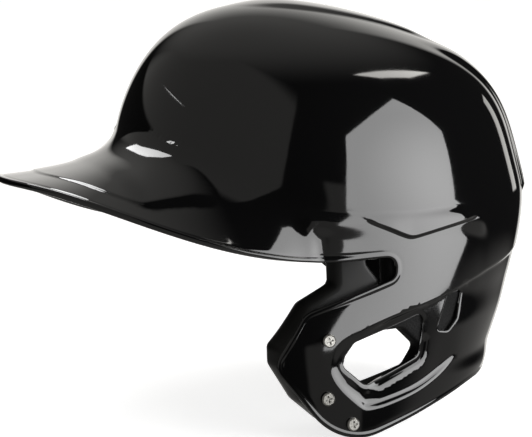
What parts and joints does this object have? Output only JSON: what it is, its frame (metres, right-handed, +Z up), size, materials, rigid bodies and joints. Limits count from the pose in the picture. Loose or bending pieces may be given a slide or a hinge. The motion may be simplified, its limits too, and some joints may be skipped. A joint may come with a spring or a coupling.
{
  "type": "batting helmet",
  "caption": "Hard glossy batting helmet with a short arched bill, one ear flap with a long jaw guard, an ear opening and a padded liner.",
  "frame": {"origin": "on the helmet's mid-plane, level with the temple rim, where the wearer's head is centred (mount head_seat)", "axes": "+X towards the wearer's left, the side with the ear flap and jaw guard; +Y towards the back of the head, so the bill points along -Y; +Z up through the crown"},
  "size_m": [0.2076, 0.3166, 0.2332],
  "materials": {
    "shell": "high-gloss black, moulded and clear-coated",
    "liner_plate": "matt black moulded liner skin",
    "dark_foam": "charcoal closed-cell foam, fine grain",
    "comfort_fabric": "black brushed knit over soft foam",
    "screw_steel": "zinc-plated, slightly worn",
    "nut_steel": "plain zinc-plated"
  },
  "bodies": {
    "root": {"outer_shell": "shell", "jaw_guard_liner": "liner_plate", "jaw_guard_pad": "dark_foam", "ear_pad": "dark_foam", "brow_foam": "dark_foam", "brow_pad": "comfort_fabric", "crown_foam": "dark_foam", "crown_pad": "comfort_fabric", "left_side_foam": "dark_foam", "left_side_pad": "comfort_fabric", "right_side_foam": "dark_foam", "right_side_pad": "comfort_fabric", "left_temple_pad": "dark_foam", "right_temple_pad": "dark_foam", "rear_foam": "dark_foam", "rear_pad": "comfort_fabric", "nape_pad": "dark_foam", "jaw_screw_upper": "screw_steel", "jaw_screw_lower": "screw_steel", "jaw_screw_chin": "screw_steel", "jaw_nut_upper": "nut_steel", "jaw_nut_lower": "nut_steel", "jaw_nut_chin": "nut_steel"}
  },
  "joints": []
}
